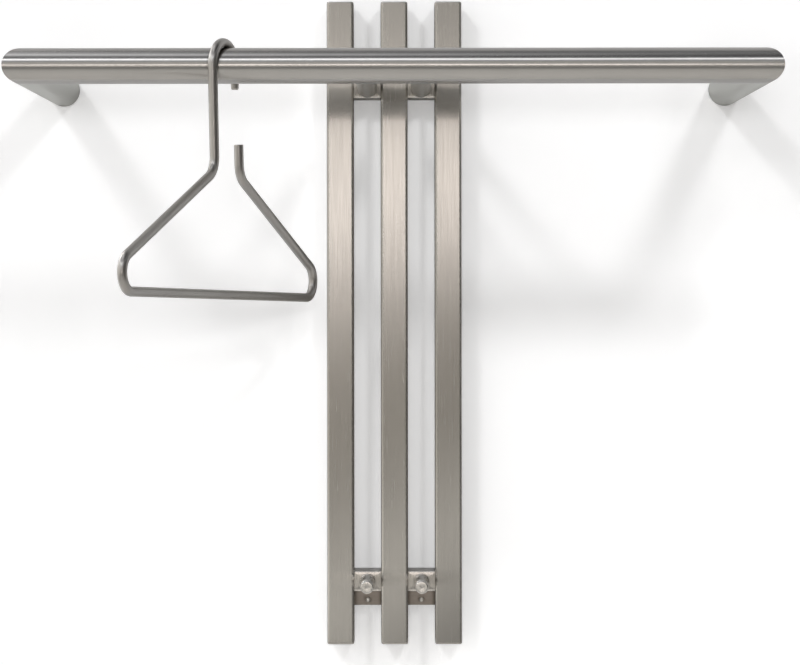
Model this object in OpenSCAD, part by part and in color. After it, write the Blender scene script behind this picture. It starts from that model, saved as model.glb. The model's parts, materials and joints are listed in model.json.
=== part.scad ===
// Wall coat rack in satin stainless steel: three flat upright bars on two wall strips,
// a round rail returned to the wall at both ends, two pegs and one bent-rod hanger.
// Frame: the origin is on the wall, at the rail's height, midway between the rail's ends.
// +X runs to the viewer's right, +Y goes into the wall and +Z is up.

/* [Rail] */
// Overall width of the rail over its two returns
rail_w = 650; // [560:5:900]
// Outside diameter of the rail tube
rail_d = 30; // [25:1:35]
// Wall thickness of the rail tube
rail_t = 2; // [1.5:0.5:3]
// Distance from the wall to the rail's axis
rail_reach = 265; // [240:5:320]

/* [Upright bars] */
// Width and depth of the square bar tube
bar_w = 25; // [22:1:28]
// Wall thickness of the bar tube
bar_t = 2; // [1.5:0.5:3]
// Outer corner radius of the bar tube
bar_corner = 2.5; // [2:0.5:3]
// Distance between the middles of two neighbouring bars
bar_pitch = 50; // [48:1:60]
// Length of a bar over its end plates
bar_h = 596; // [560:2:700]
// Height of the bar tops above the rail's axis
bar_rise = 80; // [60:1:110]
// Thickness of an end plate
plate_t = 2; // [1.5:0.5:3]
// Depth of the end plate's plug inside the tube
plug_depth = 6; // [4:1:10]

/* [Wall strips and crossbars] */
// Thickness of a wall strip
strip_t = 6; // [5:0.5:8]
// Height of a crossbar block
block_h = 19; // [19:0.5:24]
// Depth of a crossbar block in front of its wall strip
block_depth = 22; // [18:0.5:24]
// Height of the tongue on each wall strip that takes the wall screws
tongue_h = 15.2; // [14.6:0.2:20]
// Distance from the tongue's free edge to its wall screws
screw_inset = 5.3; // [4.5:0.1:6]
// Height of the pegs' axis above the bars' lower ends
peg_rise = 58.3; // [50:0.1:80]

/* [Pegs] */
// Diameter of a peg
peg_d = 12; // [11:0.5:14]
// Length of a peg in front of its block
peg_len = 50; // [45:1:70]
// Diameter of the collar at the peg's root
collar_d = 14; // [13:0.5:17]
// Thickness of the collar
collar_t = 1.5; // [1:0.5:3]
// Diameter of the neck behind the peg's tip
neck_d = 9; // [8:0.5:10]
// Width of the neck
neck_w = 7; // [5:0.5:9]
// Thickness of the peg's tip
tip_t = 5; // [4:0.5:7]

/* [Support studs] */
// Diameter of the two studs that carry the rail's middle
stud_d = 18; // [16:1:19]
// Diameter of the spigot that is welded into the rail's back
spigot_d = 10; // [8:1:12]

/* [Clamping bolts] */
// Thread diameter of the bolts that hold the studs and pegs
bolt_d = 6; // [5:0.5:6]
// Length of a bolt over its head
bolt_len = 40; // [38:1:48]
// Head diameter of a bolt
bolt_head_d = 11.5; // [10.5:0.5:12]

/* [Wall screws] */
// Difference between the thread and the plain neck under a wall screw's head
neck_less = 0.6; // [0.2:0.1:1]
// Thread diameter of the wall screws in the strips
screw_d = 4; // [3.5:0.5:4.5]
// Head diameter of the wall screws in the strips
screw_head_d = 7; // [6.5:0.5:8]
// Head height of the wall screws in the strips
screw_head_h = 2.4; // [2:0.2:3]
// Depth that these screws reach into the wall
screw_bite = 30; // [25:1:40]
// Thread diameter of the wall screws in the returns
arm_screw_d = 5; // [4.5:0.5:6]
// Head diameter of the wall screws in the returns
arm_screw_head_d = 10; // [9:0.5:11]
// Depth that these screws reach into the wall
arm_screw_bite = 45; // [35:1:50]

/* [Return inserts] */
// Length of the insert inside each return
insert_len = 20; // [16:1:26]
// Wall thickness of the insert
insert_t = 4; // [4:0.5:5]
// Thickness of the insert's base on the wall
insert_base = 5; // [4:0.5:7]
// Thread diameter of the locking screw under each return
lock_d = 5; // [4:0.5:5]

/* [Hanger] */
// Diameter of the hanger's rod
rod_d = 8; // [7:0.5:9]
// Overall width of the hanger
hanger_w = 376; // [360:2:440]
// Drop from the rail's axis to the middle of the bottom rod
hanger_drop = 191; // [160:1:220]
// Slope of the two shoulders above the bottom rod
shoulder_slope = 25.6; // [22:0.2:28]
// Middle of the triangle measured sideways from the hook
hanger_shift = 5; // [0:0.5:8]
// Bend radius of the two corners
corner_r = 15; // [10:0.5:18]
// Bend radius where the shank and the free end meet the shoulders
neck_bend_r = 18; // [8:0.5:20]
// Width of the hook between the middles of its tail and its shank
hook_w = 44.5; // [44:0.5:50]
// Bend radius at each shoulder of the hook
hook_r = 21.2; // [18:0.1:21.2]
// Length of the hook's tail below the rail's axis
hook_tail = 18; // [14:1:26]
// Sideways place of the shank's foot
shank_foot = -16.5; // [-20:0.5:-10]
// Sideways place of the free end's foot
free_foot = 31.5; // [26:0.5:36]
// Height of the free end above its foot
free_len = 27.4; // [24:0.2:34]
// Place of the hook along the rail
hanger_x = -141.3; // [-180:0.1:-120]
// Turn of the hanger away from the rail's direction
hanger_turn = 68.5; // [68:0.5:90]
// Tilt of the hanger in its own plane
hanger_tilt = 1.05; // [0:0.05:2]

/* [Fits] */
// Radial gap of a bolt or screw in a clearance hole
hole_gap = 0.2; // [0.1:0.05:0.3]
// Radial gap between a thread and its tapped hole
thread_gap = 0.05; // [0.02:0.01:0.1]
// Gap round a plug, spigot or insert inside its tube
plug_gap = 0.1; // [0.05:0.05:0.2]
// Gap between the hook and the top of the rail
hook_gap = 0.15; // [0.1:0.05:0.3]

/* [Hidden] */
$fn = 64;
rail_r = rail_d / 2;
arm_x = rail_w / 2 - rail_r;
bar_top = bar_rise;
bar_bottom = bar_rise - bar_h;
bar_back = -strip_t;
stud_x = bar_pitch / 2;
block_w = bar_pitch - bar_w;
block_front = -strip_t - block_depth;
strip_w = 2 * bar_pitch + bar_w;
strip_h = block_h + tongue_h;
screw_z = block_h / 2 + tongue_h - screw_inset;
peg_z = bar_bottom + peg_rise;
bolt_head_h = (bolt_head_d - bolt_d) / 2;
bolt_tip = bolt_len - strip_t - block_depth;
tap_depth = bolt_tip + 2;
bore_r = rail_r - rail_t;
arm_screw_head_h = (arm_screw_head_d - arm_screw_d) / 2;
lock_y = -insert_len + (insert_len - insert_base) / 2;
lock_len = rail_t + insert_t;
seam = 0.01;
hook_shift = 1;
rod_step = 0.02;
rod_lap = 0.3;

// Directions

// Turns a child that is built along +Z so that it runs towards the viewer
module forward() rotate([90, 0, 0]) children();

// Turns a child that is built along +Z so that it runs into the wall
module backward() rotate([-90, 0, 0]) children();

// Upright bars

// Section of the bar tube, grown inwards by inset
module bar_section(inset = 0) {
    w = bar_w - 2 * inset;
    r = max(bar_corner - inset, 0.5);
    translate([-w / 2 + r, -w / 2]) square([w - 2 * r, w]);
    translate([-w / 2, -w / 2 + r]) square([w, w - 2 * r]);
    for (sx = [-1, 1], sy = [-1, 1])
        translate([sx * (w / 2 - r), sy * (w / 2 - r)]) circle(r);
}

module bar_at(x) {
    tube_h = bar_h - 2 * plate_t;
    color([0.66, 0.64, 0.62])
    translate([x, bar_back - bar_w / 2, bar_bottom + plate_t])
    difference() {
        linear_extrude(tube_h) bar_section();
        translate([0, 0, -1]) linear_extrude(tube_h + 2) bar_section(bar_t);
    }
}

// End plate with its plug; up is 1 at the top of a bar and -1 at the bottom
module end_plate(x, up) {
    plate_z = up > 0 ? bar_top - plate_t : bar_bottom;
    plug_z = up > 0 ? bar_top - plate_t - plug_depth : bar_bottom + plate_t;
    color([0.62, 0.60, 0.58])
    translate([x, bar_back - bar_w / 2, 0]) {
        translate([0, 0, plate_z]) linear_extrude(plate_t) bar_section();
        translate([0, 0, plug_z]) linear_extrude(plug_depth) bar_section(bar_t + plug_gap);
    }
}

// Wall strips and crossbar blocks

// Wall strip with its tongue above (up is 1) or below (up is -1) the crossbar's axis
module wall_strip(z, up) {
    low = up > 0 ? -block_h / 2 : -block_h / 2 - tongue_h;
    color([0.58, 0.57, 0.55])
    difference() {
        translate([-strip_w / 2, -strip_t, z + low]) cube([strip_w, strip_t, strip_h]);
        for (s = [-1, 1]) {
            translate([s * stud_x, 1, z]) forward() cylinder(h = strip_t + 2, d = bolt_d + 2 * hole_gap);
            translate([s * stud_x, 0, z]) forward() bolt_cone(hole_gap);
            translate([s * stud_x, 1, z + up * screw_z])
                forward() cylinder(h = strip_t + 2, d = screw_d + 2 * hole_gap);
        }
    }
}

// Short crossbar block between two bars, bored for the bolt of its stud or peg
module block_at(x, z) {
    color([0.64, 0.62, 0.60])
    difference() {
        translate([x - block_w / 2, block_front, z - block_h / 2]) cube([block_w, block_depth, block_h]);
        translate([x, -strip_t + 1, z]) forward() cylinder(h = block_depth + 2, d = bolt_d + 2 * hole_gap);
    }
}

// Rail and returns

module tube(h) {
    difference() {
        cylinder(h = h, d = rail_d);
        translate([0, 0, -1]) cylinder(h = h + 2, r = bore_r);
    }
}

// Front tube with mitred ends and two holes for the studs' spigots
module rail_tube() {
    color([0.62, 0.61, 0.58])
    difference() {
        translate([-rail_w / 2, -rail_reach, 0]) rotate([0, 90, 0]) tube(rail_w);
        mitre_cut(-1);
        mitre_cut(1);
        for (s = [-1, 1])
            translate([s * stud_x, -rail_reach, 0])
                backward() cylinder(h = rail_d, d = spigot_d + 2 * plug_gap);
    }
}

// Removes what lies outside the corner's mitre from the front tube
module mitre_cut(s) {
    translate([s * arm_x, -rail_reach, 0])
        rotate([0, 0, s * 45])
            translate([s > 0 ? 0 : -rail_d, -2 * rail_d, -rail_d]) cube([rail_d, 4 * rail_d, 2 * rail_d]);
}

// Return tube from the front corner to the wall
module return_tube(s) {
    color([0.60, 0.58, 0.56])
    difference() {
        translate([s * arm_x, 0, 0]) forward() tube(rail_reach + rail_r);
        translate([s * arm_x, -rail_reach, 0])
            rotate([0, 0, s * 45])
                translate([s > 0 ? -2 * rail_d : 0, -2 * rail_d, -rail_d])
                    cube([2 * rail_d, 4 * rail_d, 2 * rail_d]);
        translate([s * arm_x, lock_y, -rail_d]) cylinder(h = rail_d, d = lock_d + 2 * hole_gap);
    }
}

// Cup that is screwed to the wall and slides into a return
module return_insert(s) {
    color([0.70, 0.71, 0.72])
    translate([s * arm_x, 0, 0])
    difference() {
        forward() cylinder(h = insert_len, r = bore_r - plug_gap);
        translate([0, -insert_base, 0]) forward() cylinder(h = insert_len, r = bore_r - insert_t);
        translate([0, 1, 0]) forward() cylinder(h = insert_base + 2, d = arm_screw_d + 2 * hole_gap);
        translate([0, -insert_base - seam, 0]) backward() arm_screw_cone(hole_gap);
        translate([0, lock_y, -rail_d]) cylinder(h = rail_d, d = lock_d + 2 * thread_gap);
    }
}

// Support studs and pegs

// Stud with a saddle and a spigot at the rail, tapped for its bolt at the block
module support_stud(x) {
    reach = rail_reach + block_front;
    color([0.58, 0.57, 0.55])
    translate([x, 0, 0])
    difference() {
        union() {
            difference() {
                translate([0, block_front, 0]) forward() cylinder(h = reach, d = stud_d);
                translate([-stud_d, -rail_reach, 0])
                    rotate([0, 90, 0]) cylinder(h = 2 * stud_d, r = rail_r + thread_gap);
            }
            translate([0, -rail_reach + rail_r + 2, 0])
                forward() cylinder(h = rail_t + 3, d = spigot_d);
        }
        translate([0, block_front + 1, 0]) forward() cylinder(h = tap_depth + 1, d = bolt_d + 2 * thread_gap);
    }
}

// Peg with a collar at its root and a neck behind its tip
module peg(x) {
    shaft = peg_len - tip_t - neck_w;
    color([0.70, 0.68, 0.66])
    translate([x, block_front, peg_z])
    difference() {
        forward() union() {
            cylinder(h = collar_t, d = collar_d);
            cylinder(h = shaft, d = peg_d);
            cylinder(h = peg_len - 1, d = neck_d);
            translate([0, 0, peg_len - tip_t]) cylinder(h = tip_t - 1, d = peg_d);
            translate([0, 0, peg_len - 1]) cylinder(h = 1, d1 = peg_d, d2 = peg_d - 2);
        }
        translate([0, 1, 0]) forward() cylinder(h = tap_depth + 1, d = bolt_d + 2 * thread_gap);
    }
}

// Fasteners

// Countersunk head that starts at the wall and narrows towards the viewer
module bolt_cone(gap = 0) {
    r = bolt_head_d / 2 + gap;
    cylinder(h = bolt_head_h, r1 = r, r2 = r - bolt_head_h);
}

// Bolt with its countersunk head flush in the back of a wall strip
module bolt_at(x, z) {
    color([0.50, 0.50, 0.50])
    translate([x, 0, z])
    forward() difference() {
        union() {
            bolt_cone();
            cylinder(h = bolt_len, d = bolt_d);
        }
        translate([0, 0, -seam]) cylinder(h = 2, d = bolt_d / 1.5, $fn = 6);
    }
}

// Shaft of a wall screw: a plain neck through what it holds, then the thread and its tip in the wall
module screw_shaft(d, neck, bite) {
    cylinder(h = neck, d = d - neck_less);
    translate([0, 0, neck]) cylinder(h = bite - d, d = d);
    translate([0, 0, neck + bite - d]) cylinder(h = d, d1 = d, d2 = 1);
}

// Domed wall screw through the tongue of a wall strip
module strip_screw(x, z) {
    dome_r = (pow(screw_head_d / 2, 2) + pow(screw_head_h, 2)) / (2 * screw_head_h);
    color([0.72, 0.71, 0.69])
    translate([x, -strip_t, z]) {
        forward() intersection() {
            cylinder(h = screw_head_h, d = screw_head_d + 1);
            translate([0, 0, screw_head_h - dome_r]) sphere(dome_r);
        }
        backward() screw_shaft(screw_d, strip_t, screw_bite);
    }
}

// Countersunk head that starts at the insert's base and narrows towards the wall
module arm_screw_cone(gap = 0) {
    r = arm_screw_head_d / 2 + gap;
    cylinder(h = arm_screw_head_h, r1 = r, r2 = r - arm_screw_head_h);
}

// Wall screw inside a return
module arm_screw(s) {
    color([0.55, 0.55, 0.53])
    translate([s * arm_x, -insert_base, 0])
    backward() difference() {
        union() {
            arm_screw_cone();
            screw_shaft(arm_screw_d, insert_base, arm_screw_bite);
        }
        translate([0, 0, -seam]) cylinder(h = 1.8, d = arm_screw_d / 1.5, $fn = 6);
    }
}

// Headless screw that locks a return on its insert from below
module locking_screw(s) {
    color([0.45, 0.45, 0.45])
    translate([s * arm_x, lock_y, -rail_r + 0.3])
    difference() {
        cylinder(h = lock_len, d = lock_d);
        translate([0, 0, -seam]) cylinder(h = 2.5, d = lock_d / 2, $fn = 6);
    }
}

// Hanger

// Straight piece of rod between two points of the hanger's plane, a hair thinner than the bends
module straight_rod(a, b) {
    turn = atan2(b[0] - a[0], b[1] - a[1]);
    translate([a[0], 0, a[1]])
        rotate([0, turn, 0]) cylinder(h = norm(b - a), d = rod_d - 2 * rod_step);
}

// Direction from a to b as a unit vector
function heading(a, b) = (b - a) / norm(b - a);

// Angle through which the rod turns at p between the points a and b, positive to the left
function turn_at(a, p, b) = let (u = heading(a, p), v = heading(p, b))
    atan2(u[0] * v[1] - u[1] * v[0], u[0] * v[0] + u[1] * v[1]);

// Length of straight rod that a bend of radius r uses up on each side of its corner
function bend_run(a, p, b, r) = r * tan(abs(turn_at(a, p, b)) / 2);

// Round bend of radius r at the corner p of the line a, p, b
module bend(a, p, b, r) {
    turn = turn_at(a, p, b);
    u = heading(a, p);
    side = sign(turn);
    start = p - u * bend_run(a, p, b, r);
    centre = start + side * r * [-u[1], u[0]];
    from = atan2(start[1] - centre[1], start[0] - centre[0]);
    translate([centre[0], 0, centre[1]])
        rotate([90, 0, 0])
            rotate([0, 0, side > 0 ? from : from + turn])
                rotate_extrude(angle = abs(turn)) translate([r, 0]) circle(d = rod_d);
}

// Rod bent round the inner points of a route, with one bend radius for each inner point;
// each straight piece reaches a little way into the bends at its ends
module bent_rod(route, radii) {
    last = len(route) - 1;
    used = [for (i = [0:last]) i == 0 || i == last ? 0
        : bend_run(route[i - 1], route[i], route[i + 1], radii[i - 1]) - rod_lap];
    for (i = [0:last - 1]) {
        along = heading(route[i], route[i + 1]);
        straight_rod(route[i] + along * used[i], route[i + 1] - along * used[i + 1]);
    }
    for (i = [1:last - 1])
        bend(route[i - 1], route[i], route[i + 1], radii[i - 1]);
}

// Hanger bent from one rod, from the hook's tail round the triangle to the free end
module hanger() {
    crown = rail_r + rod_d / 2 + hook_gap;
    corner_run = corner_r / tan(shoulder_slope / 2);
    left = hanger_shift - hanger_w / 2 + rod_d / 2 + corner_r - corner_run;
    right = hanger_shift + hanger_w / 2 - rod_d / 2 - corner_r + corner_run;
    rise = tan(shoulder_slope);
    shank_end = -hanger_drop + (shank_foot - left) * rise;
    free_end = -hanger_drop + (right - free_foot) * rise;
    tail_x = hook_w / 2 - hook_shift;
    route = [
        [tail_x, -hook_tail], [tail_x, crown], [tail_x - hook_w, crown],
        [shank_foot, shank_end], [left, -hanger_drop], [right, -hanger_drop],
        [free_foot, free_end], [free_foot - 2, free_end + free_len]
    ];
    color([0.50, 0.48, 0.46])
    translate([hanger_x, -rail_reach, 0])
        rotate([0, 0, hanger_turn])
            rotate([0, hanger_tilt, 0])
                bent_rod(route, [hook_r, hook_r, neck_bend_r, corner_r, corner_r, neck_bend_r]);
}

bar_at(-bar_pitch);  // bar_left
bar_at(0);  // bar_middle
bar_at(bar_pitch);  // bar_right
end_plate(-bar_pitch, 1);  // bar_top_plate_left
end_plate(0, 1);  // bar_top_plate_middle
end_plate(bar_pitch, 1);  // bar_top_plate_right
end_plate(-bar_pitch, -1);  // bar_bottom_plate_left
end_plate(0, -1);  // bar_bottom_plate_middle
end_plate(bar_pitch, -1);  // bar_bottom_plate_right
wall_strip(0, 1);  // wall_strip_upper
wall_strip(peg_z, -1);  // wall_strip_lower
block_at(-stud_x, 0);  // block_upper_left
block_at(stud_x, 0);  // block_upper_right
block_at(-stud_x, peg_z);  // block_lower_left
block_at(stud_x, peg_z);  // block_lower_right
rail_tube();
return_tube(-1);  // return_tube_left
return_tube(1);  // return_tube_right
return_insert(-1);  // return_insert_left
return_insert(1);  // return_insert_right
for (s = [-1, 1]) locking_screw(s);  // return_locking_screws
support_stud(-stud_x);  // support_stud_left
support_stud(stud_x);  // support_stud_right
for (s = [-1, 1]) bolt_at(s * stud_x, 0);  // stud_bolts
peg(-stud_x);  // peg_left
peg(stud_x);  // peg_right
for (s = [-1, 1]) bolt_at(s * stud_x, peg_z);  // peg_bolts
for (s = [-1, 1]) {  // strip_wall_screws
        strip_screw(s * stud_x, screw_z);
        strip_screw(s * stud_x, peg_z - screw_z);
    }
for (s = [-1, 1]) arm_screw(s);  // return_wall_screws
hanger();
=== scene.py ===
# %% [markdown]
# # A wall coat rack in satin stainless steel
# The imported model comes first. It holds every solid at its real size and place, and nothing below
# moves it. This file gives each solid its finish, swaps a few of them for finer meshes, adds the
# welds, and sets up a wall, a floor, soft light and the camera.

# %% Load the frame
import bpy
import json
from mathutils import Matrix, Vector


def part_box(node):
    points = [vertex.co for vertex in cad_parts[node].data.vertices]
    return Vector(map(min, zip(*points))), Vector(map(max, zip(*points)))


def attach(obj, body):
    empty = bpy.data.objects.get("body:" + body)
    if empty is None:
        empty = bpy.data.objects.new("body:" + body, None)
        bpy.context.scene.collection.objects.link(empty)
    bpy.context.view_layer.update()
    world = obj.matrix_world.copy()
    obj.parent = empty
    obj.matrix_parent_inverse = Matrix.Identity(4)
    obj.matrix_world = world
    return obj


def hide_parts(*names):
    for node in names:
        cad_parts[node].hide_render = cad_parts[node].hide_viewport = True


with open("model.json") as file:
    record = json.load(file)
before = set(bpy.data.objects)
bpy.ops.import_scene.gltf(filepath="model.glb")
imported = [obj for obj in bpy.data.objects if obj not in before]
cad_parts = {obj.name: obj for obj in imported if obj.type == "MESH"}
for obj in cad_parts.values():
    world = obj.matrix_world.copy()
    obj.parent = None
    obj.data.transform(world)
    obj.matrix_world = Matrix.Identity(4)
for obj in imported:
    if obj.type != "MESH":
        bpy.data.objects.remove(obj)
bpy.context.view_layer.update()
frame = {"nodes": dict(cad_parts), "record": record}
nodes = frame["nodes"]

# %% Modules and units
import json
import math

import bmesh
import bpy
from mathutils import Matrix, Vector

MM = 0.001
PER_MM = 1000.0


def box_mm(node):
    """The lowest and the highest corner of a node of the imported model, in mm."""
    return [[round(c * PER_MM, 3) for c in corner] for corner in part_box(node)]


# %% [markdown]
# ## Colours and nodes
# A colour is written as the sRGB hex value that a paint chip or a screen shows, and one function
# turns it into the linear numbers that a shader works with; another makes it brighter or darker.
# One more function adds a node, sets its properties and fills or links its inputs, so that a
# material reads as a list of steps.

# %% Helpers for materials
def linear(hex_code):
    """The linear colour of an sRGB hex value such as #C6C4C2."""
    channels = [int(hex_code[i:i + 2], 16) / 255 for i in (1, 3, 5)]
    curve = [c / 12.92 if c <= 0.04045 else ((c + 0.055) / 1.055) ** 2.4 for c in channels]
    return (*curve, 1.0)


def scaled(hex_code, times):
    """The linear colour of an sRGB hex value made so many times brighter, at most white."""
    return (*(min(c * times, 1.0) for c in linear(hex_code)[:3]), 1.0)


def add(tree, kind, inputs=None, **settings):
    """Adds one node. An input's value is a number, a colour, a vector or another node's output."""
    node = tree.nodes.new(kind)
    for key, value in settings.items():
        setattr(node, key, value)
    for key, value in (inputs or {}).items():
        if isinstance(value, bpy.types.NodeSocket):
            tree.links.new(value, node.inputs[key])
        else:
            node.inputs[key].default_value = value
    return node


def new_tree(name):
    """An empty material with its output node."""
    material = bpy.data.materials.new(name)
    material.use_nodes = True
    tree = material.node_tree
    tree.nodes.clear()
    output = add(tree, "ShaderNodeOutputMaterial")
    return material, tree, output


print("linear grey of #808080:", round(linear("#808080")[0], 3))

# %% [markdown]
# ## The camera
# The picture was taken from about 2.4 m, a little below the rail, looking straight at the wall with
# a long lens. The frame was then cut so that the horizon lies above its middle, which is a shift
# and not a tilt: the bars stay parallel. The place comes from how much smaller the wall plane is
# drawn than the rail, and from where the two returns' outlines meet.

# %% Camera
SENSOR = 36.0
FRAME_WIDTH_PX = 800
FRAME_HEIGHT_PX = 665
FOCAL_PX = 2550.0
VANISHING_POINT_PX = (401.1, 287.1)
CAMERA_PLACE = (0.0063, -2.394, -0.1848)
ROLL = math.radians(0.067)

camera_data = bpy.data.cameras.new("camera")
camera_data.sensor_width = SENSOR
camera_data.lens = FOCAL_PX / FRAME_WIDTH_PX * SENSOR
camera_data.shift_x = (FRAME_WIDTH_PX / 2 - VANISHING_POINT_PX[0]) / FRAME_WIDTH_PX
camera_data.shift_y = (VANISHING_POINT_PX[1] - FRAME_HEIGHT_PX / 2) / FRAME_WIDTH_PX
camera = bpy.data.objects.new("camera", camera_data)
camera.location = CAMERA_PLACE
camera.rotation_euler = (math.radians(90), ROLL, 0)
bpy.context.scene.collection.objects.link(camera)
bpy.context.scene.camera = camera
print("lens", round(camera_data.lens, 2), "mm, shift", round(camera_data.shift_y, 4))

# %% [markdown]
# ## How ground steel reflects
# Every surface here is bare stainless steel, and what the eye sees is mostly its grain. A belt or a
# stone leaves fine parallel grooves, and they spread a reflection across themselves and hardly
# along themselves. In the shader that is anisotropy with a tangent that points across the grooves:
# the cross product of the surface's normal and the groove's direction. A flat part has straight
# grooves, a ground tube has them round its axis, and a turned part has circles on its faces as
# well.
#
# The grooves themselves are 0.05 to 0.1 mm wide, too fine to show, so the noise is drawn a few
# times coarser, next to slow streaks and clouds that a hand-held finish leaves. Two more masks
# follow the shape: the Bevel node finds edges, which are painted brighter, partly as wear and partly
# as a painted highlight, and ambient occlusion finds tight corners, which get painted shade, dull
# and dark, partly also as steel that the belt can't reach.

# %% Values that all the steels share
UP = (0.03, 0.01, 1.0)
MILL_GREY = "#DAD7D3"
# colour of the painted shade in tight corners
CORNER_SHADE_BROWN = "#4A433B"
# how far the painted shade of a corner reaches, in mm
CORNER_SHADE_REACH = 4.0
# how many times brighter edges are painted, as wear and highlight, and stone-broken ones as
# highlight
RUBBED_AND_HIGHLIT, STONED_AND_HIGHLIT = 1.25, 1.3
# the stretch of a noise that is used, since it seldom goes beyond: for the tone, for the roughness
TONE_NOISE, FINE_NOISE = (0.35, 0.65), (0.3, 0.7)
ROUGHNESS_SPREAD = 0.1
BUMP_STRENGTH = 0.25
# cosine of an edge's turn where its wear and painted highlight start and are full, and their share
EDGE_TURN, EDGE_WEAR_AND_HIGHLIGHT = (0.995, 0.90), 0.35
# share of open sky where the painted shade of a corner starts and where it is darkest
OPEN_SKY = (0.90, 0.55)
# cosine between a face and the dull axis where broken edges, painted bright as a highlight, and
# mill faces start and are full
STONED_AND_HIGHLIT_FROM, MILLED_FROM = (0.1, 0.3), (0.75, 0.98)
print("the belt's grooves lean by", round(math.degrees(math.atan2(UP[0], UP[2])), 1), "degrees")


# %% Grain
def across_grooves(tree, normal, place, groove, axis, turned):
    """The tangent across straight grooves, or across those round a tube or a turned piece."""
    direction = groove or UP
    for centre, arm in ((axis, normal), (turned, place)):
        if centre:
            direction = add(tree, "ShaderNodeVectorMath", {0: centre, 1: arm},
                            operation="CROSS_PRODUCT").outputs[0]
    return add(tree, "ShaderNodeVectorMath", {0: normal, 1: direction},
               operation="CROSS_PRODUCT").outputs[0]


def ring_spots(tree, spots, turned):
    """Spots by their radius and their way along the axis, so that a noise on them makes rings."""
    across = [0.0 if c else 1.0 for c in turned]
    from_axis = add(tree, "ShaderNodeVectorMath", {0: spots, 1: across}, operation="MULTIPLY")
    radius = add(tree, "ShaderNodeVectorMath", {0: from_axis.outputs[0]}, operation="LENGTH")
    depth = add(tree, "ShaderNodeVectorMath", {0: spots, 1: turned}, operation="DOT_PRODUCT")
    return add(tree, "ShaderNodeCombineXYZ", {"X": radius.outputs["Value"],
                                              "Y": depth.outputs["Value"]}).outputs[0]


def streaks_and_patches(tree, fine_spots, in_mm, streak, cloud):
    """A tone from 0 to 1 that changes in slow streaks along the grain and in cloudy patches."""
    wide = add(tree, "ShaderNodeTexNoise", {"Vector": fine_spots, "Scale": 1 / streak,
                                            "Detail": 2.0, "Roughness": 0.5})
    patches = add(tree, "ShaderNodeTexNoise", {"Vector": in_mm, "Scale": 1 / cloud,
                                               "Detail": 3.0, "Roughness": 0.55})
    half = add(tree, "ShaderNodeMath", {0: wide.outputs[0], 1: 0.5}, operation="MULTIPLY")
    mixed = add(tree, "ShaderNodeMath", {0: patches.outputs[0], 1: 0.5, 2: half.outputs[0]},
                operation="MULTIPLY_ADD")
    return add(tree, "ShaderNodeMapRange", {"Value": mixed.outputs[0],
                                            "From Min": TONE_NOISE[0],
                                            "From Max": TONE_NOISE[1]}).outputs[0]


print("a tone runs over", round(TONE_NOISE[1] - TONE_NOISE[0], 2), "of its noise")


# %% Faces, edges and corners
def mill_faces_and_edge_highlight(tree, ground, normal, dull, colour):
    """Broken edges painted bright as a highlight, and dull grey faces, by how they face the dull
    axis.
    """
    facing = add(tree, "ShaderNodeVectorMath", {0: normal, 1: dull}, operation="DOT_PRODUCT")
    size = add(tree, "ShaderNodeMath", {0: facing.outputs["Value"]}, operation="ABSOLUTE")
    # painted highlight: broken edges are drawn brighter; mill faces get the mill's grey
    for (start, full), paint in ((STONED_AND_HIGHLIT_FROM, scaled(colour, STONED_AND_HIGHLIT)),
                                 (MILLED_FROM, linear(MILL_GREY))):
        share = add(tree, "ShaderNodeMapRange", {"Value": size.outputs[0], "From Min": start,
                                                 "From Max": full})
        ground = add(tree, "ShaderNodeMix", {0: share.outputs[0], 6: ground, 7: paint},
                     data_type="RGBA").outputs[2]
    return ground


def wear_and_highlight_edges(tree, ground, normal, colour, edge):
    """Edges painted bright, as wear and as a painted highlight, where the rounded normal turns."""
    rounded = add(tree, "ShaderNodeBevel", {"Radius": edge * MM}, samples=4)
    turn = add(tree, "ShaderNodeVectorMath", {0: rounded.outputs[0], 1: normal},
               operation="DOT_PRODUCT")
    wear_and_highlight = add(tree, "ShaderNodeMapRange", {"Value": turn.outputs["Value"],
                                            "From Min": EDGE_TURN[0], "From Max": EDGE_TURN[1],
                                            "To Max": EDGE_WEAR_AND_HIGHLIGHT})
    # painted highlight and wear: the edge's colour is made brighter
    return add(tree, "ShaderNodeMix", {0: wear_and_highlight.outputs[0], 6: ground, 7: scaled(colour, RUBBED_AND_HIGHLIT)},
               data_type="RGBA").outputs[2]


def shaded_corners(tree, ground, corner):
    """Painted shade in tight corners, dull and brown; partly steel that the belt couldn't reach."""
    # painted shade: ambient occlusion darkens the colour where little open sky is seen
    open_sky = add(tree, "ShaderNodeAmbientOcclusion", {"Distance": CORNER_SHADE_REACH * MM}, samples=6)
    corner_shade = add(tree, "ShaderNodeMapRange", {"Value": open_sky.outputs["AO"],
                                               "From Min": OPEN_SKY[0], "From Max": OPEN_SKY[1],
                                               "To Max": corner})
    return add(tree, "ShaderNodeMix", {0: corner_shade.outputs[0], 6: ground, 7: linear(CORNER_SHADE_BROWN)},
               data_type="RGBA").outputs[2]


def leaning(tree, normal, place, lean):
    """The normal of parts that lean away from each other, tipped by X times Z."""
    apart = add(tree, "ShaderNodeSeparateXYZ", {0: place})
    both = add(tree, "ShaderNodeMath", {0: apart.outputs["X"], 1: apart.outputs["Z"]},
               operation="MULTIPLY")
    tipped = add(tree, "ShaderNodeVectorMath", {0: (0.0, 0.0, lean), "Scale": both.outputs[0]},
                 operation="SCALE")
    return add(tree, "ShaderNodeVectorMath", {0: normal, 1: tipped.outputs[0]}).outputs[0]


print("wear starts at an edge that turns by",
      round(math.degrees(math.acos(EDGE_TURN[0])), 1), "degrees")


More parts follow.
